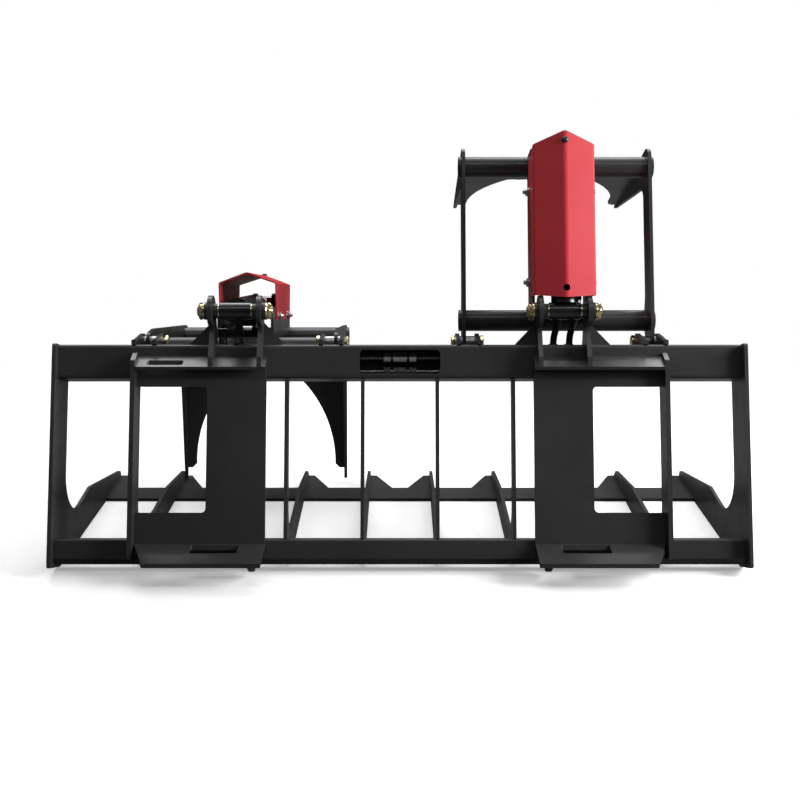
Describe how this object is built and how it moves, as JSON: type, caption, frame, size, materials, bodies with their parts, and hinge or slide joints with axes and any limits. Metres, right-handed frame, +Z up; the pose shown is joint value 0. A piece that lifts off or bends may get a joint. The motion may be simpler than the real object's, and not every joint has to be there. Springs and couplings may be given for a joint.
{
  "type": "skeleton grapple",
  "caption": "Skeleton grapple with a raked back frame, tines on a toothed edge, coupler plates and hydraulic clamping lids with guarded cylinders.",
  "frame": {"origin": "centre of the footprint, on the ground that the tines and side plates stand on", "axes": "+X across the width, to the right seen from behind; +Y forward, the way the tines point; +Z up"},
  "size_m": [1.524, 0.8474, 0.9327],
  "materials": {
    "black_coat": "satin black powder coat",
    "barrel_coat": "black paint on honed tube",
    "red_guard": "red powder coat",
    "zinc_hardware": "yellow zinc plate",
    "bush_steel": "turned steel",
    "line_steel": "black tube",
    "fitting_steel": "bright zinc plate",
    "hose_rubber": "black rubber cover",
    "grommet_rubber": "moulded rubber",
    "rod_chrome": "hard chrome",
    "piston_iron": "turned iron"
  },
  "bodies": {
    "frame": {"base_pin_left": "zinc_hardware", "base_pin_right": "zinc_hardware", "beam_lines": "line_steel", "bottom_beam": "black_coat", "coupler_foot_left": "black_coat", "coupler_foot_right": "black_coat", "coupler_gusset_left": "black_coat", "coupler_gusset_right": "black_coat", "coupler_hook_left": "black_coat", "coupler_hook_right": "black_coat", "coupler_plate_left": "black_coat", "coupler_plate_right": "black_coat", "cutting_edge": "black_coat", "cylinder_lugs_left": "black_coat", "cylinder_lugs_right": "black_coat", "hose_grommets": "grommet_rubber", "hose_inner_left": "hose_rubber", "hose_inner_right": "hose_rubber", "hose_outer_left": "hose_rubber", "hose_outer_right": "hose_rubber", "lid_ears_left": "black_coat", "lid_ears_right": "black_coat", "line_fittings": "fitting_steel", "pivot_pins_left": "zinc_hardware", "pivot_pins_right": "zinc_hardware", "side_plate_left": "black_coat", "side_plate_right": "black_coat", "tines_inner": "black_coat", "tines_outer": "black_coat", "tines_second": "black_coat", "tines_third": "black_coat", "top_beam": "black_coat"},
    "lid_left": {"arch_plate_left": "black_coat", "far_tube_left": "black_coat", "guard_bolts_left": "zinc_hardware", "guard_brackets_left": "black_coat", "guard_left": "red_guard", "lid_arms_left": "black_coat", "near_tube_left": "black_coat", "pivot_bushes_left": "bush_steel", "rod_lugs_left": "black_coat"},
    "lid_right": {"arch_plate_right": "black_coat", "far_tube_right": "black_coat", "guard_bolts_right": "zinc_hardware", "guard_brackets_right": "black_coat", "guard_right": "red_guard", "lid_arms_right": "black_coat", "near_tube_right": "black_coat", "pivot_bushes_right": "bush_steel", "rod_lugs_right": "black_coat"},
    "cylinder_left": {"barrel_left": "barrel_coat", "gland_left": "barrel_coat", "port_fittings_left": "fitting_steel"},
    "cylinder_right": {"barrel_right": "barrel_coat", "gland_right": "barrel_coat", "port_fittings_right": "fitting_steel"},
    "rod_left": {"piston_left": "piston_iron", "rod_left": "rod_chrome"},
    "rod_right": {"piston_right": "piston_iron", "rod_right": "rod_chrome"}
  },
  "joints": [
    {"name": "lid_left_pivot", "type": "hinge", "parent": "frame", "child": "lid_left", "pos_m": [-0.36, -0.0804, 0.46048], "axis": [1, 0, 0], "range_deg": [0, 80]},
    {"name": "cylinder_left_swing", "type": "hinge", "parent": "frame", "child": "cylinder_left", "pos_m": [-0.36, -0.17318, 0.55135], "axis": [1, 0, 0], "range_deg": [0, 73.54], "deforming": ["hose_inner_left", "hose_outer_left"]},
    {"name": "rod_left_slide", "type": "slide", "parent": "cylinder_left", "child": "rod_left", "axis": [0, 0.9875, -0.1576], "range_m": [-0.1593, 0]},
    {"name": "lid_right_pivot", "type": "hinge", "parent": "frame", "child": "lid_right", "pos_m": [0.36, -0.0804, 0.46048], "axis": [1, 0, 0], "range_deg": [-80, 0]},
    {"name": "cylinder_right_swing", "type": "hinge", "parent": "frame", "child": "cylinder_right", "pos_m": [0.36, -0.17318, 0.55135], "axis": [1, 0, 0], "range_deg": [-73.54, 0], "deforming": ["hose_inner_right", "hose_outer_right"]},
    {"name": "rod_right_slide", "type": "slide", "parent": "cylinder_right", "child": "rod_right", "axis": [0, 0.4313, 0.9022], "range_m": [0, 0.1593]}
  ],
  "couplings": [
    {"joint": "cylinder_left_swing", "follows": "lid_left_pivot", "ratio": 0.91896},
    {"joint": "rod_left_slide", "follows": "lid_left_pivot", "m_per_rad": -0.11396},
    {"joint": "cylinder_right_swing", "follows": "lid_right_pivot", "ratio": 0.91896},
    {"joint": "rod_right_slide", "follows": "lid_right_pivot", "m_per_rad": -0.11396}
  ]
}
